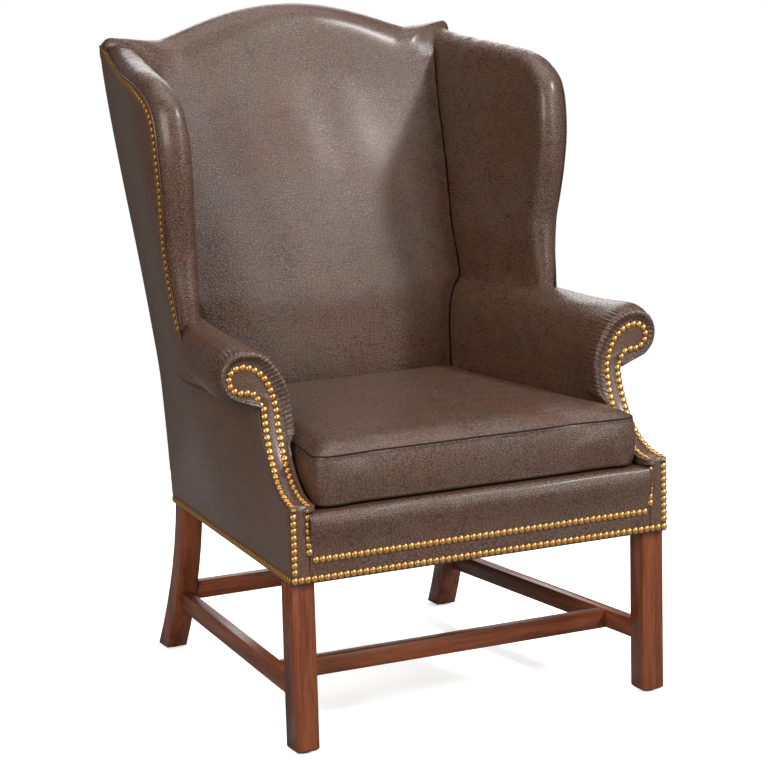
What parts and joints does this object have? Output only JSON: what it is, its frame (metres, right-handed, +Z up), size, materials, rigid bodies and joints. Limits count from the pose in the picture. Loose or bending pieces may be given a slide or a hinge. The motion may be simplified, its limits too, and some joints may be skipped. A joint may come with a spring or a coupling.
{
  "type": "wingback armchair",
  "caption": "Wingback armchair with rolled arms, a camel-back crest, a loose box seat cushion, nailhead trim and a dark wood base with an H stretcher.",
  "frame": {"origin": "middle of the overall box, on the floor under the chair", "axes": "+Z up, front towards -Y, and left and right in the names as seen from the front, left towards -X"},
  "size_m": [0.8004, 0.7956, 1.154],
  "materials": {
    "leather": "satin dark brown leather with a pebbled grain",
    "outside_leather": "smoother satin brown leather",
    "show_wood": "satin reddish-brown mahogany stain",
    "frame_wood": "plain sawn beech",
    "padding": "cream foam and wadding",
    "jute": "coarse jute weave",
    "cambric": "black dust cloth",
    "steel": "drawn spring wire and plain glides"
  },
  "bodies": {
    "chair": {"front_leg_left": "show_wood", "rear_leg_left": "show_wood", "front_glide_left": "steel", "rear_glide_left": "steel", "front_leg_right": "show_wood", "rear_leg_right": "show_wood", "front_glide_right": "steel", "rear_glide_right": "steel", "side_stretcher_left": "show_wood", "side_stretcher_right": "show_wood", "cross_stretcher": "show_wood", "rear_stretcher": "show_wood", "front_rail": "frame_wood", "rear_rail": "frame_wood", "side_rail_left": "frame_wood", "side_rail_right": "frame_wood", "front_corner_block_left": "frame_wood", "rear_corner_block_left": "frame_wood", "front_corner_block_right": "frame_wood", "rear_corner_block_right": "frame_wood", "seat_spring_1": "steel", "seat_spring_2": "steel", "seat_spring_3": "steel", "seat_spring_4": "steel", "seat_spring_5": "steel", "spring_burlap": "jute", "deck_pad": "padding", "deck_cover": "leather", "dust_cover": "cambric", "outside_panel_left": "outside_leather", "outside_panel_right": "outside_leather", "outside_back": "outside_leather", "inside_arm_cover_left": "leather", "arm_pad_left": "padding", "inside_arm_cover_right": "leather", "arm_pad_right": "padding", "inside_wing_left_cover": "leather", "inside_wing_left_pad": "padding", "inside_wing_right_cover": "leather", "inside_wing_right_pad": "padding", "inside_back_cover": "leather", "back_pad": "padding", "back_webbing": "jute", "arm_facing_left": "leather", "arm_facing_right": "leather", "front_border_cover": "leather", "front_border_pad": "padding", "arm_post_left": "frame_wood", "arm_board_left": "frame_wood", "wing_post_left": "frame_wood", "wing_rail_left": "frame_wood", "arm_post_right": "frame_wood", "arm_board_right": "frame_wood", "wing_post_right": "frame_wood", "wing_rail_right": "frame_wood", "crest_rail": "frame_wood", "lower_back_rail": "frame_wood"},
    "seat_cushion": {"seat_cushion_cover": "leather", "seat_cushion_core": "padding"}
  },
  "joints": [
    {"name": "cushion_lift", "type": "slide", "parent": "chair", "child": "seat_cushion", "axis": [0, 0, 1], "range_m": [0, 0.4]}
  ]
}
